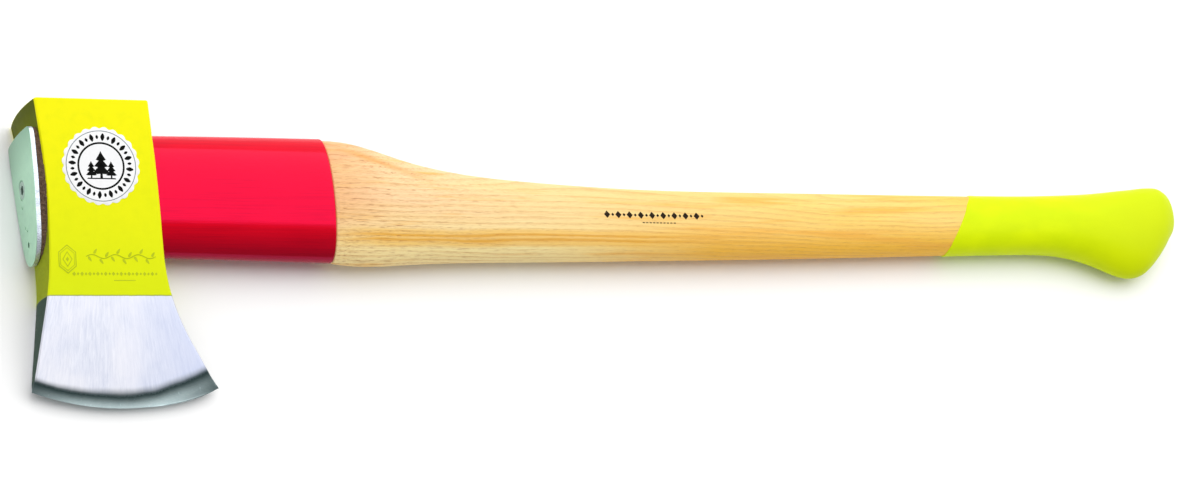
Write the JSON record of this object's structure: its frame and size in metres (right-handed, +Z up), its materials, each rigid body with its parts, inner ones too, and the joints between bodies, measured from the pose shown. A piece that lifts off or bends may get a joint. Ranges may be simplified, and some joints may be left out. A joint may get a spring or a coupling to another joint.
{
  "type": "splitting axe",
  "caption": "Long-handled splitting axe: wedge steel head, screwed safety plate over the eye, red steel neck sleeve, ash handle with dipped knob.",
  "frame": {"origin": "middle of the footprint box, on the surface the axe lies on", "axes": "+X along the handle from the head to the knob, +Y towards the poll, +Z up; the axe lies on one cheek and the knob"},
  "size_m": [0.8018, 0.1784, 0.0509],
  "materials": {
    "head_paint": "semi-gloss yellow paint on forged steel, ground bright below the paint line",
    "sleeve_paint": "gloss red lacquer",
    "zinc_plate": "zinc plated, satin",
    "zinc_screw": "zinc plated, satin",
    "steel_wedge": "bare steel",
    "ash_wood": "oiled ash, straight grain",
    "wedge_wood": "dry hardwood",
    "bedding_fibre": "rough brown fibre",
    "grip_dip": "dipped plastic coat, satin",
    "label_film": null
  },
  "bodies": {
    "root": {"axe_head": "head_paint", "protective_sleeve": "sleeve_paint", "handle": "ash_wood", "wooden_wedge": "wedge_wood", "ring_wedge": "steel_wedge", "plate_bedding": "bedding_fibre", "safety_plate": "zinc_plate", "plate_screw": "zinc_screw", "locking_pin": "zinc_screw", "grip_dip_coat": "grip_dip", "round_label": "label_film"}
  },
  "joints": []
}
